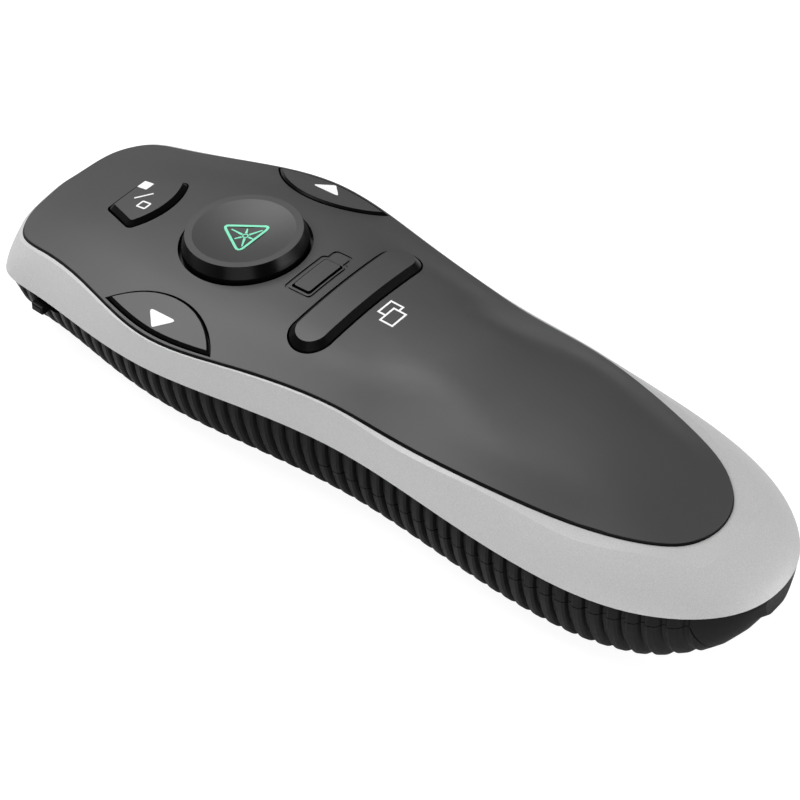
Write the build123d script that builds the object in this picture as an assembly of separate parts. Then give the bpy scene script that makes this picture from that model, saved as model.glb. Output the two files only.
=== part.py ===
from build123d import *
import os

# Wireless presentation clicker. Millimetres, +Z up. The nose (laser window) points to +Y, the tail to -Y.
# The origin is on the resting plane, at the middle of the length and the width.

# Overall shape
BODY_LENGTH = 132.0
TALL = 40.0

# Rim between the ribbed shell and the side band: distance from the nose, half width, height
RIM_FROM_NOSE = [
    (0.6, 0.0, 11.2), (0.9, 8.0, 11.2), (1.9, 14.4, 11.2), (4.2, 17.9, 11.15),
    (10.0, 19.0, 11.1), (22.0, 20.4, 11.6), (36.0, 21.6, 12.8), (52.0, 20.1, 14.3),
]
# The same, measured from the tail
RIM_FROM_TAIL = [
    (62.0, 18.5, 15.4), (44.0, 19.3, 15.5), (29.0, 19.6, 15.3), (16.0, 17.6, 15.1),
    (6.5, 12.6, 15.1), (1.4, 6.4, 15.1), (0.0, 0.0, 15.1),
]
# Seam between the side band and the top cover
SEAM_FROM_NOSE = [
    (0.5, 0.0, 15.9), (0.8, 5.6, 15.9), (1.7, 10.8, 15.6), (3.8, 14.0, 15.6),
    (10.0, 15.9, 16.9), (22.0, 18.9, 18.9), (36.0, 22.3, 20.0), (52.0, 19.9, 21.2),
]
SEAM_FROM_TAIL = [
    (62.0, 16.9, 21.5), (44.0, 16.2, 21.3), (31.0, 14.4, 21.0), (21.0, 11.7, 20.7),
    (14.0, 8.0, 20.4), (11.0, 4.2, 20.25), (10.1, 0.0, 20.1),
]
# Top surface: distance, half width at the seam, middle height, drop at the seam
CROWN_FROM_NOSE = [
    (-4.0, 14.0, 14.7, 1.2), (3.0, 14.0, 16.7, 1.2), (10.0, 15.9, 18.6, 1.7),
    (22.0, 18.9, 21.2, 2.3), (36.0, 22.3, 23.0, 3.0), (52.0, 19.9, 24.5, 3.3),
]
CROWN_FROM_TAIL = [
    (62.0, 16.9, 25.4, 3.9), (44.0, 16.2, 25.5, 4.2), (31.0, 14.4, 24.6, 3.6),
    (21.0, 11.7, 23.0, 2.3), (12.0, 5.7, 20.6, 0.4), (5.0, 5.7, 19.5, 0.4), (-6.0, 5.7, 18.0, 0.4),
]
CROWN_POWER = 2.5
CROWN_REACH = 24.0
SLOPE_PAST_SEAM = 0.35
# Underside roundover: height, inset from the sides, from the nose and from the tail
ROUNDOVER = [
    (-0.3, 9.6, 9.0, 22.0), (0.4, 6.6, 7.0, 14.0), (1.2, 5.3, 5.9, 10.8), (3.0, 3.6, 4.3, 7.0),
    (5.5, 2.2, 2.7, 4.2), (8.5, 1.2, 1.4, 2.1), (11.0, 0.7, 0.7, 0.9),
]

# Half width below which the roundover shrinks in proportion
TUCK_FROM = 14.0

# Walls and clearances
SHELL_WALL = 1.6
COVER_WALL = 1.5
COVER_GAP = 0.4
COVER_EDGE_ROUND = 0.3
BAND_WALL = 1.5
BAND_LIP = 0.3
BAND_TOP_DROP = 0.4
# Inside walls start in the floor, this far in and at this height
WALL_ROOT = 0.8
WALL_FOOT = 1.6
# Room inside the shell: step height, inset from the rim, distance from the tail
ROOM_STEPS = [(4.8, 6.7, 13.0), (7.5, 4.5, 7.2), (TALL, 3.1, 4.6)]
FIT = 0.1
LOOSE = 0.3

# Grip ribs
RIB_PITCH = 2.5
RIB_COUNT = 48
LAST_GROOVE = 124.9
GROOVE_WIDTH = 1.7
GROOVE_SHOULDER = 1.0
GROOVE_FLOOR = 0.5
GROOVE_DEPTH = 0.7
SHOULDER_DEPTH = 0.2
CAP_STEPS = 12
NOSE_FACE = 0.9
TAIL_FACE = 0.3

# Keys: where each one is, from the nose, and its size
KEY_TRAVEL = 0.6
KEY_GAP = 0.3
KEY_FLANGE = 0.7
KEY_FLANGE_TOP = 1.85
KEY_FLANGE_BOTTOM = 2.6
KEY_STEM_WIDTH = 3.6
LASER_AT = 36.8
LASER_HOLE = 10.0
LASER_RIM = 8.8
LASER_FOOT = 9.5
LASER_NECK = 9.0
LASER_FOOT_DEPTH = 1.7
LASER_RISE = 2.2
LASER_TILT = 6.3
DISH_RADIUS = 7.7
DISH_DEPTH = 1.0
BLANK_FRONT = 13.1
BLANK_CORNER = 19.5
BLANK_REAR = 21.5
BLANK_FRONT_HALF = 4.2
BLANK_REAR_HALF = 6.6
BLANK_ROUND = 1.1
BLANK_RISE = 0.8
BLANK_BEVEL = 0.7
ARROW_AT = 36.8
ARROW_CENTRE = 27.9
ARROW_RADIUS = 13.4
ARROW_RIM = 0.5
ARROW_RISE = 0.4
ARROW_BEVEL = 0.35
ARROW_EDGE_DROP = 0.3
BAR_AT = 57.8
BAR_LENGTH = 26.6
BAR_WIDTH = 7.2
BAR_RISE = 1.0
BAR_BEVEL = 0.9
GAUGE_AT = 50.6
GAUGE_LENGTH = 7.2
GAUGE_WIDTH = 2.9
GAUGE_ROUND = 0.4
GAUGE_RISE = 0.25
GAUGE_PIPE = 2.4
ICON_LEFT = -4.7
ICON_RIGHT = 4.5
ICON_NUB = 1.9
ICON_NUB_WIDTH = 3.5
ICON_FRONT = 48.0
ICON_REAR = 53.0
ICON_ROUND = 0.8
ICON_LINE = 0.4
ICON_DEPTH = 0.2

# Circuit board and what stands on it
BOARD_THICKNESS = 1.2
BOARD_UNDERSIDE = 11.9
BOARD_FRONT = 6.0
BOARD_REAR = 61.5
BOARD_INSET = 3.6
SWITCH_SIZE = 4.5
SWITCH_HEIGHT = 2.0
PLUNGER_WIDTH = 2.4
PLUNGER_HEIGHT = 1.0
ARROW_SWITCH_X = 15.6
BLANK_SWITCH_AT = 17.0
CHIP_SIZE = 6.0
CHIP_HEIGHT = 0.9
CHIP_X = -6.5
CHIP_AT = 47.0
CRYSTAL_LENGTH = 3.2
CRYSTAL_WIDTH = 2.5
CRYSTAL_HEIGHT = 0.8
CRYSTAL_X = 7.0
LED_SIZE = 2.0
LED_HEIGHT = 0.8

# Screws
CASE_SCREW = 2.2
CASE_SCREW_LENGTH = 8.0
CASE_HEAD = 4.0
CASE_HEAD_HEIGHT = 1.5
CASE_HEAD_SEAT = 7.0
CASE_FRONT_X = 11.8
CASE_FRONT_AT = 27.0
CASE_REAR_AT = [78.0, 100.0]
BOSS_WIDTH = 5.6
FRONT_BOSS_WIDTH = 6.6
BOARD_SCREW = 2.0
BOARD_SCREW_LENGTH = 5.0
BOARD_HEAD = 3.6
BOARD_HEAD_HEIGHT = 1.2
POST_WIDTH = 4.5
POST_PLACES = [(-9.5, 20.5), (9.5, 20.5), (-13.0, 57.5), (13.0, 57.5)]

# Battery bay and door
BAY_FRONT = 62.6
BAY_WALL = 1.3
BAY_WALL_BOTTOM = 5.0
ROOF_UNDERSIDE = 13.4
ROOF_THICKNESS = 1.4
CELL_WIDTH = 10.5
CELL_LENGTH = 43.7
CELL_NUB = 3.8
CELL_NUB_LENGTH = 0.8
CELL_X = 5.6
CELL_Z = 7.85
SPRING_LENGTH = 2.3
SPRING_RADIUS = 2.4
SPRING_WIRE = 0.7
SPRING_TURNS = 4
CONTACT_THICKNESS = 0.3
CONTACT_WIDTH = 7.0
CONTACT_BOTTOM = 3.5
CONTACT_TAB_WIDTH = 3.0
DOOR_RIBS = 24
DOOR_FRONT_GAP = 0.4
DOOR_GAP = 0.15
PART_LINE_FRONT = 9.2
PART_LINE_REAR = 12.63
DOOR_REAR_TOP = 125.5
DOOR_REAR_BOTTOM = 128.5
DOOR_TAB_WIDTH = 3.0
DOOR_TAB_REACH = 1.9
DOOR_TAB_THICKNESS = 1.2
DOOR_TAB_ROOM = 3.0
DOOR_TAB_ROOT = 3.0
PIVOT_WIDTH = 12.0
PIVOT_RADIUS = 0.7
PIVOT_INSET = 0.5
PIVOT_Z = 1.45

# Laser
BEAM_Z = 7.4
WINDOW_WIDTH = 6.4
WINDOW_FRONT = 4.0
WINDOW_THICKNESS = 1.2
BEAM_BORE = 4.5
BEAM_BOSS = 8.6
BEAM_BOSS_FRONT = 2.6
BEAM_BOSS_REAR = 6.6
BARREL_WIDTH = 7.0
BARREL_BORE = 5.7
BARREL_FRONT = 6.8
BARREL_REAR = 19.5
LENS_THICKNESS = 2.0
DIODE_WIDTH = 5.6
DIODE_LENGTH = 3.5
CRADLE_PLACES = [8.5, 15.5]
CRADLE_THICKNESS = 1.5
CRADLE_HALF = 4.5

# Power switch and its knob
KNOB_Z = 9.2
KNOB_HEIGHT = 1.4
KNOB_AT = 12.2
KNOB_LENGTH = 2.2
KNOB_TRAVEL = 2.0
KNOB_OUT = 19.9
KNOB_FLANGE = 0.7
KNOB_FLANGE_AT = 15.2
KNOB_PLAY = 0.15
POWER_BODY_IN = 9.6
POWER_BODY_OUT = 13.6
POWER_BODY_FRONT = 9.5
POWER_BODY_REAR = 16.0
POWER_BODY_BOTTOM = 8.2

# Receiver and its pocket
POCKET_FRONT = 23.5
POCKET_REAR = 61.5
POCKET_HALF = 7.8
POCKET_WALL = 1.2
POCKET_ROOF = 7.8
RECEIVER_BODY_LENGTH = 19.0
RECEIVER_BODY_HEIGHT = 7.0
RECEIVER_Z = 0.4
PLUG_WIDTH = 12.0
PLUG_HEIGHT = 4.5
PLUG_LENGTH = 18.0
PLUG_WALL = 0.4
TONGUE_THICKNESS = 1.4
NOTCH_HALF = 10.5
NOTCH_FRONT = 46.0
NOTCH_REAR = 52.0
NOTCH_DEPTH = 4.4

# Worked-out values
HALF_LENGTH = BODY_LENGTH / 2
BOARD_TOP = BOARD_UNDERSIDE + BOARD_THICKNESS
PLUNGER_TOP = BOARD_TOP + SWITCH_HEIGHT + PLUNGER_HEIGHT
STEM_BOTTOM = PLUNGER_TOP + KEY_TRAVEL + 0.05
ROOF_TOP = ROOF_UNDERSIDE + ROOF_THICKNESS
BAY_INSIDE = BAY_FRONT + BAY_WALL
CELL_SPACE_FRONT = BAY_INSIDE + FIT + CONTACT_THICKNESS
CELL_SPACE_REAR = CELL_SPACE_FRONT + SPRING_LENGTH + CELL_LENGTH + CELL_NUB_LENGTH
BAY_REAR = CELL_SPACE_REAR + CONTACT_THICKNESS + FIT
SHELL_FLOOR = GROOVE_DEPTH + SHELL_WALL
DOOR_FRONT = LAST_GROOVE - DOOR_RIBS * RIB_PITCH + DOOR_FRONT_GAP / 2
CURVE_STEPS = 600


def from_nose(distance):
    return HALF_LENGTH - distance


def from_tail(distance):
    return distance - HALF_LENGTH


def along(nose_rows, tail_rows):
    """Stations of one curve, from the nose to the tail, each starting with its Y."""
    return ([(from_nose(row[0]), *row[1:]) for row in nose_rows]
            + [(from_tail(row[0]), *row[1:]) for row in tail_rows])


RIM = along(RIM_FROM_NOSE, RIM_FROM_TAIL)
SEAM = along(SEAM_FROM_NOSE, SEAM_FROM_TAIL)
CROWN = along(CROWN_FROM_NOSE, CROWN_FROM_TAIL)
HALF_WIDTH = max(row[1] for row in SEAM)


def inset_station(y, x, z, inset):
    return (y * (1 - inset / HALF_LENGTH), x * (1 - inset / HALF_WIDTH), z)


def ring(stations):
    """Closed smooth curve through stations of one side and their mirror images."""
    right = [Vector(x, y, z) for y, x, z in stations]
    left = [Vector(-p.X, p.Y, p.Z) for p in right[-2:0:-1]]
    return Wire([Edge.make_spline(right + left, periodic=True)])


def plan_prism(stations, inset, bottom=0.0, top=TALL):
    """Upright block over a curve's plan, drawn in by inset."""
    flat = [inset_station(y, x, 0.0, inset) for y, x, z in stations]
    return Pos(0, 0, bottom) * extrude(Face(ring(flat)), top - bottom, dir=(0, 0, 1))


def crown(shift=0.0):
    """Everything under the top surface, moved up or down by shift."""
    sections = []
    for y, width, height, drop in CROWN:
        slope = SLOPE_PAST_SEAM * CROWN_POWER * drop / width
        side = [(width * step / 3, drop * (step / 3) ** CROWN_POWER) for step in range(4)]
        side += [(x, drop + slope * (x - width)) for x in ((width + CROWN_REACH) / 2, CROWN_REACH)]
        spread = [(-x, fall) for x, fall in side[:0:-1]] + side
        arch = [Vector(x, y, height + shift - fall) for x, fall in spread]
        left_foot = Vector(-CROWN_REACH, y, -TALL / 4 + shift)
        right_foot = Vector(CROWN_REACH, y, -TALL / 4 + shift)
        sections.append(Wire([
            Edge.make_spline(arch),
            Edge.make_line(arch[-1], right_foot),
            Edge.make_line(right_foot, left_foot),
            Edge.make_line(left_foot, arch[0]),
        ]))
    return Solid.make_loft(sections)


def crown_height(y):
    """Height of the top surface on the middle line."""
    above = [row for row in CROWN if row[0] >= y][-1]
    below = [row for row in CROWN if row[0] <= y][0]
    if above[0] == below[0]:
        return above[2]
    share = (y - below[0]) / (above[0] - below[0])
    return below[2] + (above[2] - below[2]) * share


def block(x_low, x_high, front, rear, z_low, z_high):
    """Box between two X values, two distances from the nose and two heights."""
    size = Box(x_high - x_low, rear - front, z_high - z_low)
    return Pos((x_low + x_high) / 2, from_nose((front + rear) / 2), (z_low + z_high) / 2) * size


def post(x, distance, z_low, z_high, width):
    """Upright cylinder."""
    return Pos(x, from_nose(distance), (z_low + z_high) / 2) * Cylinder(width / 2, z_high - z_low)


def rod(x, z, front, rear, width):
    """Cylinder along Y between two distances from the nose."""
    return Pos(x, from_nose((front + rear) / 2), z) * Rot(90, 0, 0) * Cylinder(width / 2, rear - front)


def smooth_rows(rows, column):
    """Close-set (Y, value) pairs on a smooth curve through one column of the stations."""
    curve = Edge.make_spline([Vector(row[column], row[0], 0) for row in rows])
    points = [curve.position_at(step / CURVE_STEPS) for step in range(CURVE_STEPS + 1)]
    return [(point.Y, point.X) for point in points]


def value_at(pairs, y):
    """Value at y between two neighbouring pairs, which run from the nose to the tail."""
    for (ahead, first), (behind, second) in zip(pairs, pairs[1:]):
        if behind <= y <= ahead:
            return first + (second - first) * (ahead - y) / (ahead - behind)
    return pairs[-1][1]


# Ribbed shell -----------------------------------------------------------------------------------


def end_rise(distance, end):
    """Height of the underside at a distance from the nose (end 2) or the tail (end 3)."""
    table = [(row[end], row[0]) for row in ROUNDOVER]
    if distance >= table[0][0]:
        return table[0][1]
    for (far, low), (near, high) in zip(table, table[1:]):
        if distance >= near:
            return low + (high - low) * (far - distance) / (far - near)
    return table[-1][1]


RIM_HALVES = smooth_rows(RIM, 1)
RIM_HEIGHTS = smooth_rows(RIM, 2)


def shell_section(y, depth):
    """Closed cross-section of the ribbed shell at y, drawn in by depth."""
    half = value_at(RIM_HALVES, y)
    top = value_at(RIM_HEIGHTS, y)
    base = max(end_rise(HALF_LENGTH - y, 2), end_rise(y + HALF_LENGTH, 3))
    squeeze = (top - base) / (top - ROUNDOVER[0][0])
    tuck = min(1.0, half / TUCK_FROM)
    side = [(half - row[1] * tuck - depth,
             base + squeeze * (row[0] - ROUNDOVER[0][0]) + depth * (1 - row[0] / top))
            for row in ROUNDOVER if row[0] < top - 2.0]
    side.append((half - ROUNDOVER[-1][1] - depth, top - FIT / 2))
    right = Edge.make_spline([Vector(x, y, z) for x, z in side])
    left = Edge.make_spline([Vector(-x, y, z) for x, z in side[::-1]])
    low = side[0]
    high = side[-1]
    return Wire([
        right,
        Edge.make_line((high[0], y, high[1]), (-high[0], y, high[1])),
        left,
        Edge.make_line((-low[0], y, low[1]), (low[0], y, low[1])),
    ])


def ribbed_block():
    """The shell's outer shape as one solid: smooth caps, and ribs with flanked grooves between."""
    first_groove = LAST_GROOVE - RIB_PITCH * (RIB_COUNT - 1)
    flank = [
        (GROOVE_WIDTH / 2, 0.0),
        (GROOVE_SHOULDER / 2, SHOULDER_DEPTH),
        (GROOVE_FLOOR / 2, GROOVE_DEPTH),
    ]
    stations = []
    for step in range(CAP_STEPS):
        share = step / CAP_STEPS
        stations.append((NOSE_FACE + (first_groove - GROOVE_WIDTH - NOSE_FACE) * share ** 1.5, 0.0))
    for index in range(RIB_COUNT):
        middle = first_groove + RIB_PITCH * index
        stations += [(middle - reach, depth) for reach, depth in flank]
        stations += [(middle + reach, depth) for reach, depth in flank[::-1]]
    tail_start = LAST_GROOVE + GROOVE_WIDTH
    for step in range(CAP_STEPS + 1):
        share = 1 - (1 - step / CAP_STEPS) ** 1.5
        stations.append((tail_start + (BODY_LENGTH - TAIL_FACE - tail_start) * share, 0.0))
    body = Solid.make_loft([shell_section(from_nose(u), depth) for u, depth in stations], ruled=True)
    return body & block(-TALL, TALL, -1, BODY_LENGTH + 1, 0, TALL)


def stepped_room(extra):
    """Inside of the shell: steps that follow the roundover, drawn out by extra."""
    rooms = []
    low = SHELL_FLOOR - extra
    for high, inset, tail in ROOM_STEPS:
        room = plan_prism(RIM, inset - extra, low, high)
        rooms.append(room & block(-TALL, TALL, 0, BODY_LENGTH - tail + extra, low, high))
        low = high
    return rooms[0] + rooms[1:]


def door_wedge(front_gap, gap):
    """The space of the battery door seen from the side."""
    outline = Polyline(
        (0, from_nose(DOOR_FRONT - front_gap), -TALL),
        (0, from_nose(DOOR_FRONT - front_gap), PART_LINE_FRONT + gap),
        (0, from_nose(DOOR_REAR_TOP + gap), PART_LINE_REAR + gap),
        (0, from_nose(DOOR_REAR_BOTTOM + gap), 0),
        (0, from_nose(DOOR_REAR_BOTTOM + gap), -TALL),
        close=True,
    )
    return Pos(-TALL, 0, 0) * extrude(make_face(outline), 2 * TALL, dir=(1, 0, 0))


OUTER = ribbed_block()
ROOM = stepped_room(0.0)
ROOM_WALLS = stepped_room(WALL_ROOT)


def lower_shell():
    shell = OUTER - door_wedge(DOOR_FRONT_GAP, DOOR_GAP) - ROOM
    bay_half = CELL_X + CELL_WIDTH / 2 + 2 * LOOSE
    inside = [
        block(-TALL, TALL, BAY_FRONT, BAY_INSIDE, 0, ROOF_TOP),
        block(-TALL, TALL, BAY_FRONT, BAY_REAR + BAY_WALL, ROOF_UNDERSIDE, ROOF_TOP),
        block(-bay_half - BAY_WALL, -bay_half, BAY_FRONT, BAY_REAR, BAY_WALL_BOTTOM, ROOF_TOP),
        block(bay_half, bay_half + BAY_WALL, BAY_FRONT, BAY_REAR, BAY_WALL_BOTTOM, ROOF_TOP),
        block(-bay_half - BAY_WALL, bay_half + BAY_WALL, BAY_REAR, BAY_REAR + BAY_WALL,
              BAY_WALL_BOTTOM, ROOF_TOP),
        block(-POCKET_HALF - POCKET_WALL, POCKET_HALF + POCKET_WALL, POCKET_FRONT - POCKET_WALL,
              BAY_INSIDE, WALL_FOOT, POCKET_ROOF + POCKET_WALL),
        block(-NOTCH_HALF - POCKET_WALL, NOTCH_HALF + POCKET_WALL, NOTCH_FRONT - POCKET_WALL,
              NOTCH_REAR + POCKET_WALL, WALL_FOOT, NOTCH_DEPTH + POCKET_WALL),
        rod(0, BEAM_Z, BEAM_BOSS_FRONT, BEAM_BOSS_REAR, BEAM_BOSS),
    ]
    for place in CRADLE_PLACES:
        inside.append(block(-CRADLE_HALF, CRADLE_HALF, place, place + CRADLE_THICKNESS, WALL_FOOT, BEAM_Z))
    for x, distance in POST_PLACES:
        inside.append(post(x, distance, WALL_FOOT, BOARD_UNDERSIDE, POST_WIDTH))
    for x in (-CASE_FRONT_X, CASE_FRONT_X):
        inside.append(post(x, CASE_FRONT_AT, WALL_FOOT, BOARD_UNDERSIDE, FRONT_BOSS_WIDTH))
    walls = ROOM_WALLS & (inside[0] + inside[1:])
    shell = shell + walls
    cuts = [
        block(-POCKET_HALF, POCKET_HALF, POCKET_FRONT, POCKET_REAR, -1, POCKET_ROOF),
        block(-NOTCH_HALF, NOTCH_HALF, NOTCH_FRONT, NOTCH_REAR, -1, NOTCH_DEPTH),
        rod(0, BEAM_Z, -5, WINDOW_FRONT + WINDOW_THICKNESS, WINDOW_WIDTH + 2 * FIT),
        rod(0, BEAM_Z, 0, BEAM_BOSS_REAR + 1, BEAM_BORE),
        rod(0, BEAM_Z, BARREL_FRONT - LOOSE, BARREL_REAR + LOOSE, BARREL_WIDTH + 2 * FIT),
        block(-TALL, -KNOB_FLANGE_AT, KNOB_AT - KNOB_LENGTH / 2 - LOOSE,
              KNOB_AT + KNOB_LENGTH / 2 + KNOB_TRAVEL + LOOSE,
              KNOB_Z - KNOB_HEIGHT / 2 - KNOB_PLAY, KNOB_Z + KNOB_HEIGHT / 2 + KNOB_PLAY),
    ]
    cuts.append(block(-DOOR_TAB_WIDTH / 2 - LOOSE, DOOR_TAB_WIDTH / 2 + LOOSE,
                      DOOR_FRONT - DOOR_TAB_REACH - LOOSE, DOOR_FRONT,
                      SHELL_FLOOR - LOOSE, SHELL_FLOOR + DOOR_TAB_ROOM))
    for x in (-CELL_X, CELL_X):
        cuts.append(block(x - CONTACT_TAB_WIDTH / 2 - LOOSE, x + CONTACT_TAB_WIDTH / 2 + LOOSE,
                          BAY_FRONT - 1, BAY_INSIDE, BOARD_TOP - LOOSE, BOARD_TOP + 2 * LOOSE))
    for x, distance in POST_PLACES:
        cuts.append(post(x, distance, BOARD_TOP - BOARD_SCREW_LENGTH - LOOSE, BOARD_TOP, BOARD_SCREW + FIT))
    for x in (-CASE_FRONT_X, CASE_FRONT_X):
        cuts.append(post(x, CASE_FRONT_AT, -1, CASE_HEAD_SEAT, CASE_HEAD + 2 * FIT))
        cuts.append(post(x, CASE_FRONT_AT, 0, TALL, CASE_SCREW + 2 * FIT))
    for distance in CASE_REAR_AT:
        cuts.append(post(0, distance, 0, TALL, CASE_SCREW + 2 * FIT))
    return shell - cuts


def battery_door():
    door = (OUTER & door_wedge(0, 0)) - ROOM
    reach = block(-DOOR_TAB_WIDTH / 2, DOOR_TAB_WIDTH / 2, DOOR_FRONT - DOOR_TAB_REACH,
                  DOOR_FRONT + DOOR_TAB_ROOT, SHELL_FLOOR, SHELL_FLOOR + DOOR_TAB_THICKNESS)
    root = block(-DOOR_TAB_WIDTH / 2, DOOR_TAB_WIDTH / 2, DOOR_FRONT + 1.0,
                 DOOR_FRONT + DOOR_TAB_ROOT, WALL_FOOT, SHELL_FLOOR + DOOR_TAB_THICKNESS)
    pivot = Rot(0, 90, 0) * Cylinder(PIVOT_RADIUS, PIVOT_WIDTH)
    return door + reach + root + Pos(0, from_nose(DOOR_FRONT + PIVOT_INSET), PIVOT_Z) * pivot


# Side band and top cover ------------------------------------------------------------------------


def below_rim():
    """Everything under the rim line."""
    first = RIM[0]
    last = RIM[-1]
    profile = [Vector(0, y, z) for y, x, z in RIM]
    profile = [Vector(0, first[0] + 8, first[2])] + profile[1:-1] + [Vector(0, last[0] - 8, last[2])]
    side = Wire([
        Edge.make_spline(profile),
        Edge.make_line(profile[-1], (0, profile[-1].Y, -TALL)),
        Edge.make_line((0, profile[-1].Y, -TALL), (0, profile[0].Y, -TALL)),
        Edge.make_line((0, profile[0].Y, -TALL), profile[0]),
    ])
    return Pos(-TALL, 0, 0) * extrude(Face(side), 2 * TALL, dir=(1, 0, 0))


def band_block(inset):
    """The side band's outer shape as a solid block, drawn in by inset."""
    rim = [inset_station(y, x, z, inset) for y, x, z in RIM]
    seam = [inset_station(y, x, z, inset) for y, x, z in SEAM]
    low = [(y, x, 4.0) for y, x, z in rim]
    middle = [(a[0] + (b[0] - a[0]) * 0.36, a[1] + (b[1] - a[1]) * 0.36, (a[2] + b[2]) / 2)
              for a, b in zip(rim, seam)]
    high = [(b[0] + (b[0] - a[0]) * 0.5, b[1] + (b[1] - a[1]) * 0.5, 28.0) for a, b in zip(rim, seam)]
    rings = [[(y, x, z - inset) for y, x, z in stations] for stations in (rim, middle, seam, high)]
    return Solid.make_loft([ring(low)] + [ring(stations) for stations in rings])


def side_band():
    band = band_block(0.0) - below_rim()
    band = band & crown(-BAND_TOP_DROP)
    band = band - (plan_prism(SEAM, BAND_LIP) - crown(-COVER_WALL - FIT))
    return band - plan_prism(SEAM, BAND_WALL)


def laser_disc(grow):
    return Pos(0, from_nose(LASER_AT)) * Circle(LASER_HOLE + grow)


def arrow_disc(side, grow):
    return Pos(side * ARROW_CENTRE, from_nose(ARROW_AT)) * Circle(ARROW_RADIUS + grow)


def bar_slot(grow):
    return Pos(0, from_nose(BAR_AT)) * SlotOverall(BAR_LENGTH + 2 * grow, BAR_WIDTH + 2 * grow)


def gauge_box(grow):
    size = RectangleRounded(GAUGE_LENGTH + 2 * grow, GAUGE_WIDTH + 2 * grow, GAUGE_ROUND)
    return Pos(0, from_nose(GAUGE_AT)) * size


def blank_shield(grow):
    front = from_nose(BLANK_FRONT) + grow
    corner = from_nose(BLANK_CORNER)
    rear = from_nose(BLANK_REAR) - grow
    front_half = BLANK_FRONT_HALF + grow
    rear_half = BLANK_REAR_HALF + grow
    outline = [
        Line((-front_half, front), (front_half, front)),
        Line((front_half, front), (rear_half, corner)),
        ThreePointArc((rear_half, corner), (0, rear), (-rear_half, corner)),
        Line((-rear_half, corner), (-front_half, front)),
    ]
    face = make_face(outline)
    return fillet(face.vertices(), BLANK_ROUND)


def upright(face, bottom=0.0):
    return Pos(0, 0, bottom) * extrude(face, TALL - bottom, dir=(0, 0, 1))


def sheet(shape, top_shift, bottom_shift):
    """The part of an upright shape between two levels that follow the top surface."""
    return (shape & crown(top_shift)) - crown(bottom_shift)


def battery_shape(inset):
    """Plan of a battery with its nub, drawn in by inset."""
    middle = from_nose((ICON_FRONT + ICON_REAR) / 2)
    width = ICON_REAR - ICON_FRONT - 2 * inset
    corner = ICON_ROUND - inset / 2
    case = RectangleRounded(ICON_RIGHT - ICON_LEFT - 2 * inset, width, corner)
    nub = RectangleRounded(2 * ICON_NUB, ICON_NUB_WIDTH - 2 * inset, corner)
    return Pos((ICON_LEFT + ICON_RIGHT) / 2, middle) * case + Pos(ICON_RIGHT - inset, middle) * nub


def battery_outline():
    return battery_shape(0.0) - battery_shape(ICON_LINE)


def top_cover():
    cover = sheet(plan_prism(SEAM, COVER_GAP), 0.0, -COVER_WALL)
    cover = fillet(cover.faces().sort_by(Axis.Z)[-1].edges(), COVER_EDGE_ROUND)
    bosses = [(x, CASE_FRONT_AT, BOARD_TOP, CASE_HEAD_SEAT) for x in (-CASE_FRONT_X, CASE_FRONT_X)]
    bosses += [(0, distance, ROOF_TOP, ROOF_UNDERSIDE) for distance in CASE_REAR_AT]
    under = crown(-COVER_WALL / 2)
    for x, distance, foot, seat in bosses:
        boss = post(x, distance, foot + FIT, TALL, BOSS_WIDTH) & under
        cover = cover + boss
        cover = cover - post(x, distance, 0, seat + CASE_SCREW_LENGTH + LOOSE, CASE_SCREW + FIT)
    for face in (laser_disc(0), bar_slot(0), gauge_box(KEY_GAP), blank_shield(KEY_GAP)):
        cover = cover - upright(face)
    for side in (-1, 1):
        cover = cover - (upright(arrow_disc(side, 0)) & plan_prism(SEAM, COVER_GAP + ARROW_RIM))
    return cover - (upright(battery_outline()) - crown(-ICON_DEPTH))


# Keys -------------------------------------------------------------------------------------------


def stem(x, distance):
    return post(x, distance, STEM_BOTTOM, TALL, KEY_STEM_WIDTH) & crown(-KEY_FLANGE_TOP)


def laser_button():
    neck = laser_disc(LASER_NECK - LASER_HOLE)
    key = sheet(upright(neck), -LASER_FOOT_DEPTH / 2, -KEY_FLANGE_BOTTOM)
    key = key + sheet(upright(laser_disc(KEY_FLANGE)), -KEY_FLANGE_TOP, -KEY_FLANGE_BOTTOM)
    foot_top = LASER_RISE / 6
    foot_height = foot_top + LASER_FOOT_DEPTH
    foot = Pos(0, 0, foot_top - foot_height / 2) * Cylinder(LASER_FOOT, foot_height)
    cap_height = LASER_RISE - foot_top
    cap = Pos(0, 0, foot_top + cap_height / 2) * Cone(LASER_FOOT, LASER_RIM, cap_height)
    dish = (DISH_RADIUS ** 2 + DISH_DEPTH ** 2) / (2 * DISH_DEPTH)
    bowl = Pos(0, 0, LASER_RISE + dish - DISH_DEPTH) * Rot(90, 0, 0) * Sphere(dish)
    place = Pos(0, from_nose(LASER_AT), crown_height(from_nose(LASER_AT)))
    top = place * Rot(-LASER_TILT, 0, 0) * (foot + cap - bowl)
    return key + top + stem(0, LASER_AT)


def blank_button():
    key = sheet(upright(blank_shield(0)), BLANK_RISE, -KEY_FLANGE_BOTTOM)
    key = chamfer(key.faces().sort_by(Axis.Z)[-1].edges(), BLANK_BEVEL)
    key = key + sheet(upright(blank_shield(KEY_FLANGE)), -KEY_FLANGE_TOP, -KEY_FLANGE_BOTTOM)
    return key + stem(0, BLANK_SWITCH_AT)


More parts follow.
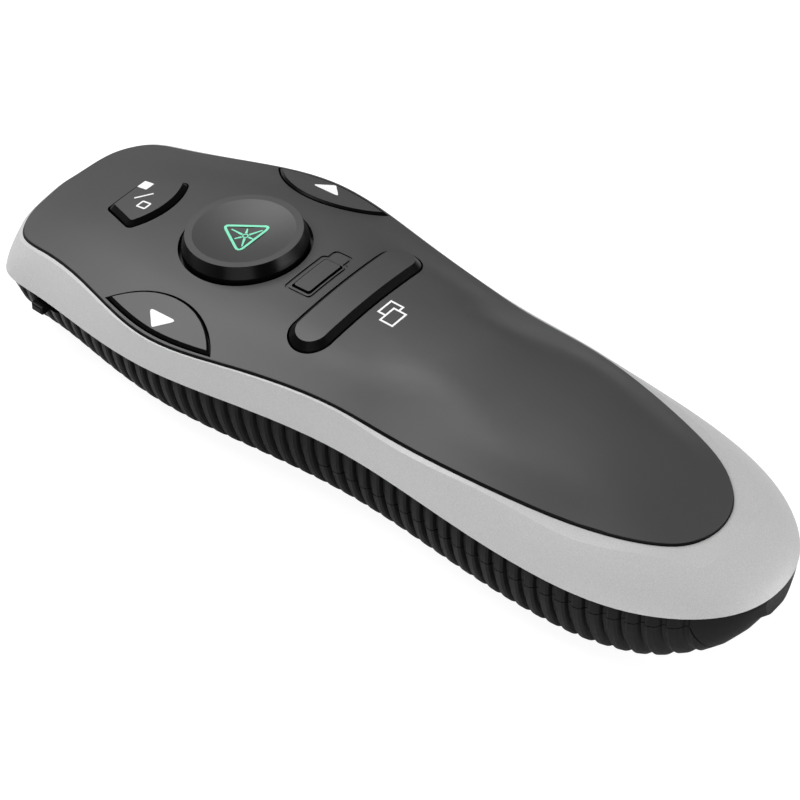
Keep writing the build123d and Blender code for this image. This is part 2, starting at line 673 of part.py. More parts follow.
def arrow_button(side):
    lens = upright(arrow_disc(side, -KEY_GAP)) & plan_prism(SEAM, COVER_GAP + ARROW_RIM + KEY_GAP)
    key = sheet(lens, ARROW_RISE, -KEY_FLANGE_BOTTOM)
    key = chamfer(key.faces().sort_by(Axis.Z)[-1].edges(), ARROW_BEVEL)
    over_band = upright(arrow_disc(side, LOOSE)) - plan_prism(SEAM, BAND_WALL + LOOSE)
    key = key - (over_band & crown(-ARROW_EDGE_DROP))
    wide = upright(arrow_disc(side, KEY_FLANGE)) & plan_prism(SEAM, BAND_WALL + 2 * LOOSE)
    key = key + sheet(wide, -KEY_FLANGE_TOP, -KEY_FLANGE_BOTTOM)
    return key + stem(side * ARROW_SWITCH_X, ARROW_AT)


def bar_button():
    key = sheet(upright(bar_slot(-KEY_GAP)), BAR_RISE, -KEY_FLANGE_BOTTOM)
    key = chamfer(key.faces().sort_by(Axis.Z)[-1].edges(), BAR_BEVEL)
    key = key + sheet(upright(bar_slot(KEY_FLANGE)), -KEY_FLANGE_TOP, -KEY_FLANGE_BOTTOM)
    return key + stem(0, BAR_AT)


def gauge_lens():
    lens = sheet(upright(gauge_box(0)), GAUGE_RISE, -KEY_FLANGE_BOTTOM)
    lens = lens + sheet(upright(gauge_box(KEY_FLANGE)), -COVER_WALL - FIT, -KEY_FLANGE_BOTTOM)
    pipe = post(0, GAUGE_AT, BOARD_TOP + LED_HEIGHT + LOOSE, TALL, GAUGE_PIPE)
    return lens + (pipe & crown(-COVER_WALL))


# Board ------------------------------------------------------------------------------------------

SWITCH_PLACES = [
    (0, LASER_AT), (0, BLANK_SWITCH_AT), (0, BAR_AT),
    (-ARROW_SWITCH_X, ARROW_AT), (ARROW_SWITCH_X, ARROW_AT),
]


def main_board():
    board = plan_prism(RIM, BOARD_INSET, BOARD_UNDERSIDE, BOARD_TOP)
    board = board & block(-TALL, TALL, BOARD_FRONT, BOARD_REAR, 0, TALL)
    board = board & plan_prism(SEAM, BAND_WALL + LOOSE)
    holes = [post(x, distance, 0, TALL, BOARD_SCREW + 2 * FIT) for x, distance in POST_PLACES]
    holes += [post(x, CASE_FRONT_AT, 0, TALL, CASE_SCREW + 2 * LOOSE) for x in (-CASE_FRONT_X, CASE_FRONT_X)]
    return board - holes


def on_board(x, distance, width, length, height):
    return block(x - width / 2, x + width / 2, distance - length / 2, distance + length / 2,
                 BOARD_TOP, BOARD_TOP + height)


def key_switches():
    return Compound([on_board(x, u, SWITCH_SIZE, SWITCH_SIZE, SWITCH_HEIGHT) for x, u in SWITCH_PLACES])


def switch_plungers():
    return Compound([post(x, u, BOARD_TOP + SWITCH_HEIGHT, PLUNGER_TOP, PLUNGER_WIDTH)
                     for x, u in SWITCH_PLACES])


def screw(x, distance, seat, direction, width, length, head_width, head_height):
    """Pan-head screw whose head sits on a face at the seat height, its shank going up (1) or down (-1)."""
    ends = sorted([seat, seat + direction * length])
    head = sorted([seat, seat - direction * head_height])
    shank = post(x, distance, *ends, width)
    return shank + post(x, distance, *head, head_width)


def case_screws():
    front = [screw(x, CASE_FRONT_AT, CASE_HEAD_SEAT, 1, CASE_SCREW, CASE_SCREW_LENGTH,
                   CASE_HEAD, CASE_HEAD_HEIGHT) for x in (-CASE_FRONT_X, CASE_FRONT_X)]
    rear = [screw(0, u, ROOF_UNDERSIDE, 1, CASE_SCREW, CASE_SCREW_LENGTH,
                  CASE_HEAD, CASE_HEAD_HEIGHT) for u in CASE_REAR_AT]
    return Compound(front + rear)


def board_screws():
    return Compound([screw(x, u, BOARD_TOP, -1, BOARD_SCREW, BOARD_SCREW_LENGTH,
                           BOARD_HEAD, BOARD_HEAD_HEIGHT) for x, u in POST_PLACES])


# Laser, power switch ----------------------------------------------------------------------------


def laser_barrel():
    return (rod(0, BEAM_Z, BARREL_FRONT, BARREL_REAR, BARREL_WIDTH)
            - rod(0, BEAM_Z, BARREL_FRONT - 1, BARREL_REAR + 1, BARREL_BORE))


def power_knob():
    front = KNOB_AT - KNOB_LENGTH / 2
    rear = KNOB_AT + KNOB_LENGTH / 2
    low = KNOB_Z - KNOB_HEIGHT / 2
    high = KNOB_Z + KNOB_HEIGHT / 2
    thumb = block(-KNOB_OUT, -POWER_BODY_OUT - FIT, front, rear, low, high)
    thumb = fillet(thumb.faces().sort_by(Axis.X)[0].edges(), KNOB_HEIGHT / 4)
    flange = block(-KNOB_FLANGE_AT - KNOB_FLANGE / 2, -POWER_BODY_OUT - FIT,
                   front - KNOB_FLANGE, rear + KNOB_FLANGE, low - KNOB_FLANGE, high + KNOB_FLANGE)
    return thumb + flange


# Battery cells and contacts ---------------------------------------------------------------------


def battery_cell(x, nub_at_nose):
    if nub_at_nose:
        front = CELL_SPACE_FRONT + CELL_NUB_LENGTH
        nub = rod(x, CELL_Z, CELL_SPACE_FRONT, front + 1, CELL_NUB)
    else:
        front = CELL_SPACE_FRONT + SPRING_LENGTH
        nub = rod(x, CELL_Z, front + CELL_LENGTH - 1, CELL_SPACE_REAR, CELL_NUB)
    return rod(x, CELL_Z, front, front + CELL_LENGTH, CELL_WIDTH) + nub


def spring(x, front):
    """Closed coil: turns of wire that touch one another."""
    step = (SPRING_LENGTH - SPRING_WIRE) / (SPRING_TURNS - 1)
    turns = [Pos(x, from_nose(front + SPRING_WIRE / 2 + step * turn), CELL_Z) * Rot(90, 0, 0)
             * Torus(SPRING_RADIUS, SPRING_WIRE / 2) for turn in range(SPRING_TURNS)]
    return turns[0] + turns[1:]


def battery_springs():
    return Compound([spring(-CELL_X, CELL_SPACE_FRONT), spring(CELL_X, CELL_SPACE_REAR - SPRING_LENGTH)])


def nose_contacts():
    plates = []
    for x in (-CELL_X, CELL_X):
        face = block(x - CONTACT_WIDTH / 2, x + CONTACT_WIDTH / 2, CELL_SPACE_FRONT - CONTACT_THICKNESS,
                     CELL_SPACE_FRONT, CONTACT_BOTTOM, ROOF_UNDERSIDE - 0.02)
        tab = block(x - CONTACT_TAB_WIDTH / 2, x + CONTACT_TAB_WIDTH / 2, BOARD_REAR - 2.0,
                    CELL_SPACE_FRONT, BOARD_TOP + 0.02, ROOF_UNDERSIDE - 0.02)
        plates.append(face + tab)
    return Compound(plates)


def bridge_contact():
    half = CELL_X + CONTACT_WIDTH / 2
    return block(-half, half, CELL_SPACE_REAR, CELL_SPACE_REAR + CONTACT_THICKNESS,
                 CONTACT_BOTTOM, ROOF_UNDERSIDE - FIT)


# Receiver ---------------------------------------------------------------------------------------

RECEIVER_REAR = POCKET_REAR - LOOSE
RECEIVER_SPLIT = RECEIVER_REAR - RECEIVER_BODY_LENGTH
RECEIVER_MIDDLE = RECEIVER_Z + RECEIVER_BODY_HEIGHT / 2


def receiver_body():
    half = POCKET_HALF - LOOSE
    body = block(-half, half, RECEIVER_SPLIT, RECEIVER_REAR, RECEIVER_Z, RECEIVER_Z + RECEIVER_BODY_HEIGHT)
    return fillet(body.edges().filter_by(Axis.Y), 1.2)


def receiver_plug():
    front = RECEIVER_SPLIT - PLUG_LENGTH + LOOSE
    low = RECEIVER_MIDDLE - PLUG_HEIGHT / 2
    high = RECEIVER_MIDDLE + PLUG_HEIGHT / 2
    tube = block(-PLUG_WIDTH / 2, PLUG_WIDTH / 2, front, RECEIVER_SPLIT, low, high)
    return tube - block(-PLUG_WIDTH / 2 + PLUG_WALL, PLUG_WIDTH / 2 - PLUG_WALL, front - 1,
                        RECEIVER_SPLIT, low + PLUG_WALL, high - PLUG_WALL)


def receiver_tongue():
    top = RECEIVER_MIDDLE + PLUG_HEIGHT / 2 - PLUG_WALL
    return block(-PLUG_WIDTH / 2 + PLUG_WALL, PLUG_WIDTH / 2 - PLUG_WALL, RECEIVER_SPLIT - PLUG_LENGTH + 1,
                 RECEIVER_SPLIT, top - TONGUE_THICKNESS, top)


NODES = {
    "lower_shell": lower_shell,
    "battery_door": battery_door,
    "side_band": side_band,
    "top_cover": top_cover,
    "laser_button": laser_button,
    "blank_button": blank_button,
    "previous_button": lambda: arrow_button(-1),
    "next_button": lambda: arrow_button(1),
    "bar_button": bar_button,
    "gauge_lens": gauge_lens,
    "power_knob": power_knob,
    "nose_window": lambda: rod(0, BEAM_Z, WINDOW_FRONT, WINDOW_FRONT + WINDOW_THICKNESS, WINDOW_WIDTH),
    "main_board": main_board,
    "key_switches": key_switches,
    "switch_plungers": switch_plungers,
    "radio_chip": lambda: on_board(CHIP_X, CHIP_AT, CHIP_SIZE, CHIP_SIZE, CHIP_HEIGHT),
    "crystal_can": lambda: on_board(CRYSTAL_X, CHIP_AT, CRYSTAL_LENGTH, CRYSTAL_WIDTH, CRYSTAL_HEIGHT),
    "status_led": lambda: on_board(0, GAUGE_AT, LED_SIZE, LED_SIZE, LED_HEIGHT),
    "power_switch_body": lambda: block(-POWER_BODY_OUT, -POWER_BODY_IN, POWER_BODY_FRONT,
                                       POWER_BODY_REAR, POWER_BODY_BOTTOM, BOARD_UNDERSIDE),
    "laser_barrel": laser_barrel,
    "laser_lens": lambda: rod(0, BEAM_Z, BARREL_FRONT + LOOSE, BARREL_FRONT + LOOSE + LENS_THICKNESS,
                              BARREL_BORE - 0.04),
    "laser_diode": lambda: rod(0, BEAM_Z, BARREL_REAR - DIODE_LENGTH, BARREL_REAR, DIODE_WIDTH),
    "battery_cell_left": lambda: battery_cell(-CELL_X, False),
    "battery_cell_right": lambda: battery_cell(CELL_X, True),
    "battery_springs": battery_springs,
    "bridge_contact": bridge_contact,
    "nose_contacts": nose_contacts,
    "receiver_body": receiver_body,
    "receiver_plug": receiver_plug,
    "receiver_tongue": receiver_tongue,
    "case_screws": case_screws,
    "board_screws": board_screws,
}

if __name__ == "__main__":
    os.makedirs("parts", exist_ok=True)
    for name, make in NODES.items():
        export_step(make(), f"parts/{name}.step")
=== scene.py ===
import bpy
import bmesh
import math
from mathutils import Matrix, Vector
from mathutils.bvhtree import BVHTree


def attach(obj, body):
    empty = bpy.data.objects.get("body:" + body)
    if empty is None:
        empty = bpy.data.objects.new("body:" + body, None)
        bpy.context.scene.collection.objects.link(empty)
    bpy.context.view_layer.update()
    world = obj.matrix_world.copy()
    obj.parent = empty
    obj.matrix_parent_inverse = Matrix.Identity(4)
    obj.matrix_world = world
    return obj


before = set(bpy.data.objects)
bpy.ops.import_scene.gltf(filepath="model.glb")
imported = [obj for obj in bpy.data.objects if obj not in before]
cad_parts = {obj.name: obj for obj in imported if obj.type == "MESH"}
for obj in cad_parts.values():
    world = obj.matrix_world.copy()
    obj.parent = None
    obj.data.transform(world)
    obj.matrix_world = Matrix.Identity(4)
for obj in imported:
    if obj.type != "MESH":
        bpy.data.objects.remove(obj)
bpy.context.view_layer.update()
scene = bpy.context.scene

MM = 0.001
WHITE = (1.0, 1.0, 1.0)
DOWN = Vector((0.0, 0.0, -1.0))

# Camera: bearing, height angle and roll of a view at the middle of the grip, then a small move
# across and up the picture. The focal length is in pixels of a picture of this size.
PICTURE_SIZE = 800
CAMERA_TARGET = Vector((0.0, 0.0, 13.0)) * MM
CAMERA_BEARING = math.radians(37.83)
CAMERA_HEIGHT = math.radians(44.23)
CAMERA_ROLL = math.radians(1.55)
CAMERA_DISTANCE = 413.24 * MM
CAMERA_RIGHT = 0.16 * MM
CAMERA_UP = -2.82 * MM
CAMERA_FOCAL = 2854.14
CAMERA_CLIP_START = 0.01

# Softboxes: place, aim and size in metres
LAMPS = {
    "overhead": dict(place=(0.0, 0.45, 0.62), aim=(0.0, 0.0, 0.0), size=(0.7, 0.5), watts=6.6),
    "front_side": dict(place=(-0.6, -0.3, 0.2), aim=(0.0, 0.0, 0.02), size=(0.6, 0.3), watts=2.0),
    "tail_side": dict(place=(0.3, -0.6, 0.16), aim=(0.0, 0.0, 0.02), size=(0.5, 0.2), watts=3.2),
}

# World: its light on the object, and what the camera sees of it
WORLD_FILL = 0.1
WORLD_SEEN = 1.0

# Floor: metres to each side, tone, and the glow and its share in what the camera sees
FLOOR_REACH = 3.0
FLOOR_TONE = (0.9, 0.9, 0.9)
FLOOR_GLOW = 1.3
FLOOR_GLOW_SHARE = 0.7

# Materials: usual detail of a noise, the span that holds nearly all of it, plain gloss, and how
# far the roughness of moulded plastic goes up and down
NOISE_DETAIL = 3.0
NOISE_LOW = 0.3
NOISE_HIGH = 0.7
PLAIN_SPECULAR = 0.5
GLOSS_SWING = 0.04

# Upright share of a face normal: up to the first a face is a side wall, from the second on a top
# Below the first limit, side walls and bevels are painted near-black: painted shade of the gaps.
COVER_SIDE_SHADE_LIMITS = (0.72, 0.82)
KEY_SIDE_SHADE_LIMITS = (0.84, 0.9)
SIDE_SPECULAR = 0.08
TOP_SPECULAR = 0.5

# Printed marks, in mm, with the nose at this y. Corners are (x, distance from the nose), boxes are
# (x, distance from the nose, width, length) by their middle, and the arrow is the next key's.
NOSE = 66.0
BLANK_SQUARE = (2.3, 14.7, 1.8, 1.9)
BLANK_SQUARE_CORNER = 0.2
BLANK_SLASH = ((-1.2, 15.6), (1.1, 17.45))
BLANK_OUTLINE = (-1.9, 18.2, 1.4, 1.55)
BLANK_OUTLINE_CORNER = 0.15
ARROW = ((18.1, 34.3), (20.65, 36.9), (18.1, 39.5))
ARROW_CORNER = 0.35
WINDOW_REAR = (0.65, 63.7, 2.9, 2.2)
WINDOW_FRONT = (-0.45, 65.0, 3.1, 2.2)
TRIANGLE = ((0.0, 32.6), (3.7, 38.6), (-3.7, 38.6))
TRIANGLE_CORNER = 0.65
TRIANGLE_STROKE = 0.42
STROKE = 0.3

# Rays of the laser mark, in mm: they run from near its middle towards the triangle's corners and
# sides by turns, with half widths at root and tip, around a small ring
LASER_AT = 36.8
RAY_COUNT = 6
RAY_START = 0.6
RAY_ENDS = (2.7, 1.7)
RAY_ROOT = 0.2
RAY_TIP = 0.1
RING_RADIUS = 0.4
RING_STEPS = 18

# How the marks are laid on: colours, ink thickness in mm, start height of the search for the
# surface and weld distance in metres, steps of a rounded corner, rings of a filled shape, and the
# limit that keeps a mitre short
INK_WHITE = (0.95, 0.95, 0.95)
INK_MINT = (0.25, 0.84, 0.56)
INK = 0.03
SEARCH_HEIGHT = 0.06
WELD = 1e-6
CORNER_STEPS = 5
FILL_RINGS = 4
MITRE_LIMIT = 0.35


# Camera, light and floor -------------------------------------------------------------------------


def place_camera():
    """The photo's view, with no shift and no depth of field."""
    view = Vector((
        math.cos(CAMERA_BEARING) * math.cos(CAMERA_HEIGHT),
        math.sin(CAMERA_BEARING) * math.cos(CAMERA_HEIGHT),
        -math.sin(CAMERA_HEIGHT),
    ))
    level = Vector((math.sin(CAMERA_BEARING), -math.cos(CAMERA_BEARING), 0.0))
    upright = level.cross(view)
    right = math.cos(CAMERA_ROLL) * level + math.sin(CAMERA_ROLL) * upright
    up = -math.sin(CAMERA_ROLL) * level + math.cos(CAMERA_ROLL) * upright
    eye = CAMERA_TARGET - view * CAMERA_DISTANCE + right * CAMERA_RIGHT + up * CAMERA_UP
    camera = bpy.data.objects.new("camera", bpy.data.cameras.new("camera"))
    camera.matrix_world = Matrix((
        (right.x, up.x, -view.x, eye.x),
        (right.y, up.y, -view.y, eye.y),
        (right.z, up.z, -view.z, eye.z),
        (0.0, 0.0, 0.0, 1.0),
    ))
    camera.data.sensor_fit = "HORIZONTAL"
    camera.data.angle = 2 * math.atan(PICTURE_SIZE / 2 / CAMERA_FOCAL)
    camera.data.clip_start = CAMERA_CLIP_START
    scene.collection.objects.link(camera)
    scene.camera = camera


def softbox(name, place, aim, size, watts):
    """Rectangular lamp that shines from its place towards its aim."""
    lamp = bpy.data.lights.new(name, "AREA")
    lamp.shape = "RECTANGLE"
    lamp.size, lamp.size_y = size
    lamp.energy = watts
    holder = bpy.data.objects.new(name, lamp)
    holder.location = place
    holder.rotation_euler = (Vector(aim) - Vector(place)).to_track_quat("-Z", "Y").to_euler()
    scene.collection.objects.link(holder)


def glow(nodes, kind, strength):
    """White background or emission shader."""
    node = nodes.new(kind)
    node.inputs["Color"].default_value = (*WHITE, 1.0)
    node.inputs["Strength"].default_value = strength
    return node.outputs[0]


def mixed(nodes, links, share, first, second):
    """First shader where the share is 0, second where it is 1."""
    node = nodes.new("ShaderNodeMixShader")
    links.new(share, node.inputs["Fac"])
    links.new(first, node.inputs[1])
    links.new(second, node.inputs[2])
    return node.outputs[0]


def light_studio():
    """Three softboxes and a dim world that the camera sees as white."""
    for name, lamp in LAMPS.items():
        softbox(name, **lamp)
    world = bpy.data.worlds.new("studio")
    scene.world = world
    world.use_nodes = True
    nodes = world.node_tree.nodes
    links = world.node_tree.links
    nodes.clear()
    camera_ray = nodes.new("ShaderNodeLightPath").outputs["Is Camera Ray"]
    fill = glow(nodes, "ShaderNodeBackground", WORLD_FILL)
    seen = glow(nodes, "ShaderNodeBackground", WORLD_SEEN)
    out = nodes.new("ShaderNodeOutputWorld")
    links.new(mixed(nodes, links, camera_ray, fill, seen), out.inputs["Surface"])


def lay_floor():
    """White floor that keeps the shadow, seen through from below."""
    mesh = bpy.data.meshes.new("floor")
    floor = bpy.data.objects.new("floor", mesh)
    sides = ((-1, -1), (1, -1), (1, 1), (-1, 1))
    mesh.from_pydata([(x * FLOOR_REACH, y * FLOOR_REACH, 0) for x, y in sides], [], [(0, 1, 2, 3)])
    scene.collection.objects.link(floor)
    material = bpy.data.materials.new("floor_paper")
    material.use_nodes = True
    nodes = material.node_tree.nodes
    links = material.node_tree.links
    nodes.clear()
    paper = nodes.new("ShaderNodeBsdfDiffuse")
    paper.inputs["Color"].default_value = (*FLOOR_TONE, 1.0)
    share = nodes.new("ShaderNodeMath")
    share.operation = "MULTIPLY"
    share.inputs[1].default_value = FLOOR_GLOW_SHARE
    links.new(nodes.new("ShaderNodeLightPath").outputs["Is Camera Ray"], share.inputs[0])
    bright = glow(nodes, "ShaderNodeEmission", FLOOR_GLOW)
    above = mixed(nodes, links, share.outputs[0], paper.outputs[0], bright)
    below = nodes.new("ShaderNodeBsdfTransparent").outputs[0]
    backfacing = nodes.new("ShaderNodeNewGeometry").outputs["Backfacing"]
    out = nodes.new("ShaderNodeOutputMaterial")
    links.new(mixed(nodes, links, backfacing, above, below), out.inputs["Surface"])
    mesh.materials.append(material)


# Materials ---------------------------------------------------------------------------------------


class Paint:
    """A Principled material whose colour, roughness and surface come from nodes in object space."""

    def __init__(self, name, roughness, metallic=0.0, specular=PLAIN_SPECULAR):
        self.material = bpy.data.materials.new(name)
        self.material.use_nodes = True
        self.nodes = self.material.node_tree.nodes
        self.links = self.material.node_tree.links
        self.shader = self.nodes["Principled BSDF"]
        self.shader.inputs["Roughness"].default_value = roughness
        self.shader.inputs["Metallic"].default_value = metallic
        self.shader.inputs["Specular IOR Level"].default_value = specular
        self.place = self.nodes.new("ShaderNodeTexCoord").outputs["Object"]

    def noise(self, scale_mm, detail=NOISE_DETAIL):
        """Noise whose blotches are about scale_mm across."""
        node = self.nodes.new("ShaderNodeTexNoise")
        node.inputs["Scale"].default_value = 1.0 / (scale_mm * MM)
        node.inputs["Detail"].default_value = detail
        self.links.new(self.place, node.inputs["Vector"])
        return node.outputs["Fac"]

    def spread(self, source, low, high, start=NOISE_LOW, end=NOISE_HIGH):
        """Source from start to end, stretched to run from low to high."""
        node = self.nodes.new("ShaderNodeMapRange")
        node.inputs["From Min"].default_value = start
        node.inputs["From Max"].default_value = end
        node.inputs["To Min"].default_value = low
        node.inputs["To Max"].default_value = high
        self.links.new(source, node.inputs["Value"])
        return node.outputs["Result"]

    def patches(self, scale_mm, detail=NOISE_DETAIL):
        """Share from 0 to 1 in soft patches."""
        return self.spread(self.noise(scale_mm, detail), 0.0, 1.0)

    def blend(self, share, first, second):
        """Colour between two colours or outputs, by a share from 0 to 1."""
        node = self.nodes.new("ShaderNodeMix")
        node.data_type = "RGBA"
        self.links.new(share, node.inputs["Factor"])
        for socket, value in ((node.inputs["A"], first), (node.inputs["B"], second)):
            if isinstance(value, tuple):
                socket.default_value = (*value, 1.0)
            else:
                self.links.new(value, socket)
        return node.outputs["Result"]

    def colour(self, output):
        self.links.new(output, self.shader.inputs["Base Color"])

    def roughness(self, output):
        self.links.new(output, self.shader.inputs["Roughness"])

    def specular(self, output):
        self.links.new(output, self.shader.inputs["Specular IOR Level"])

    def bump(self, height, depth_mm):
        node = self.nodes.new("ShaderNodeBump")
        node.inputs["Distance"].default_value = depth_mm * MM
        self.links.new(height, node.inputs["Height"])
        self.links.new(node.outputs["Normal"], self.shader.inputs["Normal"])


def grey(value, tint=0.0):
    """Linear grey with a share more of blue."""
    return (value, value, value * (1.0 + tint))


def dimmed(colour, share):
    return tuple(channel * share for channel in colour)


def grained(name, roughness, grain_mm=0.18, grain_depth=0.006, specular=PLAIN_SPECULAR):
    """Moulded plastic with a fine spark-eroded grain, its colour still to come."""
    paint = Paint(name, roughness, specular=specular)
    paint.bump(paint.noise(grain_mm, detail=2.0), grain_depth)
    return paint


def moulded(name, tones, roughness, patch_mm, patch_detail=NOISE_DETAIL, **surface):
    """Satin moulded plastic: tone that drifts in patches, fine grain and slightly uneven gloss."""
    paint = grained(name, roughness, **surface)
    paint.colour(paint.blend(paint.patches(patch_mm, patch_detail), *tones))
    low, high = roughness - GLOSS_SWING, roughness + GLOSS_SWING
    uneven = paint.spread(paint.noise(scale_mm=0.6), low, high)
    paint.roughness(uneven)
    return paint


def black_plastic(name, tone, roughness, **surface):
    """Moulded plastic of one dark grey with a faint drift."""
    tones = (grey(tone * 0.93), grey(tone * 1.07, tint=0.01))
    return moulded(name, tones, roughness, patch_mm=22.0, patch_detail=2.0, **surface)


def up_facing(paint, start, end):
    """0 on side walls, 1 on faces that look up; it masks the painted shade of side walls."""
    geometry = paint.nodes.new("ShaderNodeNewGeometry")
    split = paint.nodes.new("ShaderNodeSeparateXYZ")
    paint.links.new(geometry.outputs["Normal"], split.inputs["Vector"])
    return paint.spread(split.outputs["Z"], 0.0, 1.0, start, end)


def side_shaded_key_paint(name, limits, tone, painted_side_shade, roughness, side_roughness):
    """Satin top face; glossier side walls and bevels painted near-black as painted shade of the
    gaps.
    """
    paint = grained(name, roughness)
    top = up_facing(paint, *limits)
    drift = paint.patches(scale_mm=18.0, detail=2.0)
    face = paint.blend(drift, grey(tone * 0.94), grey(tone * 1.06))
    # Near-black on side walls and bevels: painted shade of the gaps around cover and keys.
    paint.colour(paint.blend(top, grey(painted_side_shade), face))
    paint.roughness(paint.spread(top, side_roughness, roughness, start=0.0, end=1.0))
    paint.specular(paint.spread(top, SIDE_SPECULAR, TOP_SPECULAR, start=0.0, end=1.0))
    return paint


def metal(name, colour, roughness):
    """Plated or turned metal with fine, uneven brushing."""
    paint = Paint(name, roughness, metallic=1.0)
    drift = paint.patches(scale_mm=0.3, detail=4.0)
    paint.colour(paint.blend(drift, dimmed(colour, 0.85), colour))
    uneven = paint.spread(paint.noise(scale_mm=1.5), roughness - 0.06, roughness + 0.08)
    paint.roughness(uneven)
    paint.bump(paint.noise(scale_mm=0.1), depth_mm=0.0006)
    return paint


def silver_paint():
    """Silver-grey sprayed plastic, satin, with a fine metal flake."""
    paint = Paint("silver_spray", roughness=0.55, metallic=0.15, specular=0.35)
    speckle = paint.noise(scale_mm=0.12, detail=1.0)
    flake = paint.spread(speckle, 0.0, 1.0, start=0.35, end=0.65)
    paint.colour(paint.blend(flake, (0.46, 0.465, 0.46), (0.55, 0.555, 0.55)))
    paint.roughness(paint.spread(paint.noise(scale_mm=0.9), 0.5, 0.6))
    paint.bump(paint.noise(scale_mm=0.14, detail=1.0), depth_mm=0.003)
    return paint


def glassy(name, colour, roughness, transmission):
    """Clear or tinted moulding that lets a share of the light through."""
    paint = Paint(name, roughness)
    drift = paint.patches(scale_mm=1.5, detail=2.0)
    paint.colour(paint.blend(drift, dimmed(colour, 0.85), colour))
    paint.shader.inputs["Transmission Weight"].default_value = transmission
    return paint


def ink(name, colour):
    """Printed ink: almost even, with a faint screen-print mottle."""
    paint = Paint(name, roughness=0.5, specular=0.3)
    mottle = paint.patches(scale_mm=0.25, detail=2.0)
    paint.colour(paint.blend(mottle, dimmed(colour, 0.95), colour))
    return paint


def dress_nodes():
    """Give every node of the CAD its material."""
    shell = black_plastic("shell_black", tone=0.004, roughness=0.38, specular=0.12,
                          grain_mm=0.2, grain_depth=0.003)
    # The side tones of these three are painted shade on the side walls and bevels.
    cover = side_shaded_key_paint("cover_grey_shaded_sides", COVER_SIDE_SHADE_LIMITS, tone=0.044, painted_side_shade=0.004,
                      roughness=0.52, side_roughness=0.35)
    key = side_shaded_key_paint("key_grey_shaded_sides", KEY_SIDE_SHADE_LIMITS, tone=0.044, painted_side_shade=0.003,
                    roughness=0.5, side_roughness=0.3)
    laser = side_shaded_key_paint("laser_key", KEY_SIDE_SHADE_LIMITS, tone=0.044, painted_side_shade=0.002,
                      roughness=0.5, side_roughness=0.25)
    black = black_plastic("switch_black", tone=0.015, roughness=0.5)
    board = moulded("board_green", ((0.01, 0.09, 0.03), (0.02, 0.14, 0.05)),
                    roughness=0.5, patch_mm=2.0)
    jacket = moulded("cell_jacket", ((0.03, 0.06, 0.2), (0.04, 0.08, 0.26)),
                     roughness=0.3, patch_mm=3.0)
    steel = metal("steel", (0.62, 0.62, 0.64), roughness=0.3)
    brass = metal("brass", (0.75, 0.58, 0.28), roughness=0.3)
    silver = silver_paint()
    looks = {
        "lower_shell": shell, "battery_door": shell, "power_knob": shell, "receiver_body": shell,
        "side_band": silver, "top_cover": cover,
        "laser_button": laser, "blank_button": key, "previous_button": key, "next_button": key,
        "bar_button": key, "gauge_lens": key,
        "nose_window": glassy("window_tint", (0.2, 0.01, 0.01), roughness=0.05, transmission=0.6),
        "laser_lens": glassy("lens_clear", (0.9, 0.95, 0.95), roughness=0.02, transmission=1.0),
        "status_led": glassy("led_epoxy", (0.8, 0.85, 0.8), roughness=0.15, transmission=0.7),
        "main_board": board, "key_switches": black, "switch_plungers": black, "radio_chip": black,
        "receiver_tongue": black, "crystal_can": steel, "power_switch_body": steel,
        "laser_barrel": brass, "laser_diode": brass, "battery_cell_left": jacket,
        "battery_cell_right": jacket, "battery_springs": steel, "bridge_contact": steel,
        "nose_contacts": steel, "receiver_plug": steel, "case_screws": steel, "board_screws": steel,
    }
    for name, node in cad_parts.items():
        node.data.materials.clear()
        node.data.materials.append(looks[name].material)


# Printed icons -----------------------------------------------------------------------------------


def surface_of(node):
    return BVHTree.FromObject(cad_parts[node], bpy.context.evaluated_depsgraph_get())


def stroke(points, width=STROKE, closed=False):
    """Quads of a line of even width with mitred corners."""
    count = len(points)
    rails = []
    for index, point in enumerate(points):
        here = Vector(point)
        legs = []
        if closed or index:
            legs.append((here - Vector(points[index - 1])).normalized())
        if closed or index < count - 1:
            legs.append((Vector(points[(index + 1) % count]) - here).normalized())
        normals = [Vector((-leg.y, leg.x)) for leg in legs]
        mitre = sum(normals, Vector((0.0, 0.0))).normalized()
        reach = width / 2 / max(MITRE_LIMIT, mitre.dot(normals[0]))
        rails.append((here + mitre * reach, here - mitre * reach))
    quads = []
    for index in range(count if closed else count - 1):
        start = rails[index]
        end = rails[(index + 1) % count]
        quads.append([start[0], end[0], end[1], start[1]])
    return quads


def rounded(corners, radius):
    """Closed outline with each corner rounded by an arc-like curve."""
    outline = []
    count = len(corners)
    for index in range(count):
        here = Vector(corners[index])
        before = (Vector(corners[index - 1]) - here).normalized()
        after = (Vector(corners[(index + 1) % count]) - here).normalized()
        half = before.angle(after) / 2
        run = radius / math.tan(half)
        start = here + before * run
        end = here + after * run
        for step in range(CORNER_STEPS + 1):
            share = step / CORNER_STEPS
            bend = here * 2 * share * (1 - share)
            outline.append(start * (1 - share) ** 2 + bend + end * share ** 2)
    return outline


def filled(outline):
    """Polygons that fill an outline, ring by ring towards its middle."""
    middle = sum((Vector(point) for point in outline), Vector((0.0, 0.0))) / len(outline)
    polygons = []
    for ring in range(FILL_RINGS):
        outer = 1 - ring / FILL_RINGS
        inner = 1 - (ring + 1) / FILL_RINGS
        for index in range(len(outline)):
            here = Vector(outline[index]) - middle
            after = Vector(outline[(index + 1) % len(outline)]) - middle
            polygon = [middle + here * outer, middle + after * outer]
            polygon += [middle + after * inner, middle + here * inner] if inner else [middle]
            polygons.append(polygon)
    return polygons


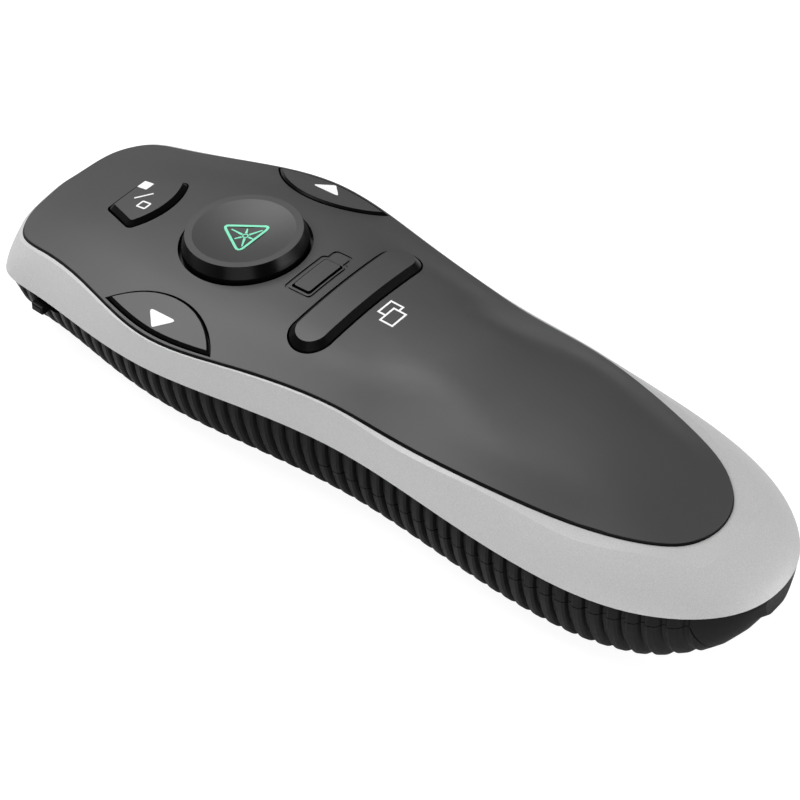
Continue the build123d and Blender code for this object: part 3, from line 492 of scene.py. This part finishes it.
def icon(name, node, polygons, paint, body):
    """Thin printed shape that follows the surface of a node, seen from above."""
    surface = surface_of(node)
    grid = bmesh.new()
    for polygon in polygons:
        corners = []
        for x, from_nose in polygon:
            place = Vector((x, NOSE - from_nose, 0.0)) * MM - DOWN * SEARCH_HEIGHT
            hit = surface.ray_cast(place, DOWN)[0]
            corners.append(grid.verts.new(hit - DOWN * (INK * MM)))
        grid.faces.new(corners)
    bmesh.ops.remove_doubles(grid, verts=grid.verts, dist=WELD)
    bmesh.ops.recalc_face_normals(grid, faces=grid.faces)
    mesh = bpy.data.meshes.new(name)
    grid.to_mesh(mesh)
    grid.free()
    piece = bpy.data.objects.new(name, mesh)
    scene.collection.objects.link(piece)
    mesh.materials.append(paint.material)
    skin = piece.modifiers.new("ink_thickness", "SOLIDIFY")
    skin.thickness = INK * MM
    skin.offset = 0.0
    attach(piece, body)


def box_outline(x, from_nose, width, length):
    left, right = x - width / 2, x + width / 2
    low, high = from_nose - length / 2, from_nose + length / 2
    return [(left, low), (right, low), (right, high), (left, high)]


def hidden_box():
    """The rear slide window's outline, less what lies behind the front one."""
    rear = box_outline(*WINDOW_REAR)
    front_right, front_low = box_outline(*WINDOW_FRONT)[1]
    start = (rear[0][0], front_low)
    end = (front_right, rear[2][1])
    return [start, *rear[:3], end]


def laser_rays():
    """Needle rays around a small ring."""
    middle = Vector((0.0, LASER_AT))
    polygons = []
    for turn in range(RAY_COUNT):
        bearing = math.radians(360 / RAY_COUNT * turn)
        along = Vector((math.sin(bearing), -math.cos(bearing)))
        across = Vector((along.y, -along.x))
        root = middle + along * RAY_START
        tip = middle + along * RAY_ENDS[turn % 2]
        polygons.append([root + across * RAY_ROOT, tip + across * RAY_TIP,
                         tip - across * RAY_TIP, root - across * RAY_ROOT])
    ring = []
    for step in range(RING_STEPS):
        bearing = math.radians(360 / RING_STEPS * step)
        ring.append((RING_RADIUS * math.cos(bearing), LASER_AT + RING_RADIUS * math.sin(bearing)))
    return polygons + stroke(ring, RAY_ROOT, closed=True)


def print_icons():
    """Generic marks of the keys and the slide windows behind the bar key."""
    white = ink("ink_white", INK_WHITE)
    mint = ink("ink_mint", INK_MINT)
    square = rounded(box_outline(*BLANK_SQUARE), BLANK_SQUARE_CORNER)
    outline = rounded(box_outline(*BLANK_OUTLINE), BLANK_OUTLINE_CORNER)
    icon("icon_blank_square", "blank_button", filled(square), white, "blank_key")
    icon("icon_blank_slash", "blank_button", stroke(BLANK_SLASH), white, "blank_key")
    icon("icon_blank_outline", "blank_button", stroke(outline, closed=True), white, "blank_key")
    arrow_keys = ((-1, "previous_button", "previous_key"), (1, "next_button", "next_key"))
    for side, node, body in arrow_keys:
        corners = [(side * x, from_nose) for x, from_nose in ARROW]
        icon(f"icon_{node}", node, filled(rounded(corners, ARROW_CORNER)), white, body)
    triangle = stroke(rounded(TRIANGLE, TRIANGLE_CORNER), TRIANGLE_STROKE, closed=True)
    icon("icon_laser_triangle", "laser_button", triangle, mint, "laser_key")
    icon("icon_laser_rays", "laser_button", laser_rays(), mint, "laser_key")
    front = stroke(box_outline(*WINDOW_FRONT), closed=True)
    icon("icon_slides_rear", "top_cover", stroke(hidden_box()), white, "casing")
    icon("icon_slides_front", "top_cover", front, white, "casing")


place_camera()
light_studio()
lay_floor()
dress_nodes()
print_icons()
scene.view_settings.view_transform = "Standard"
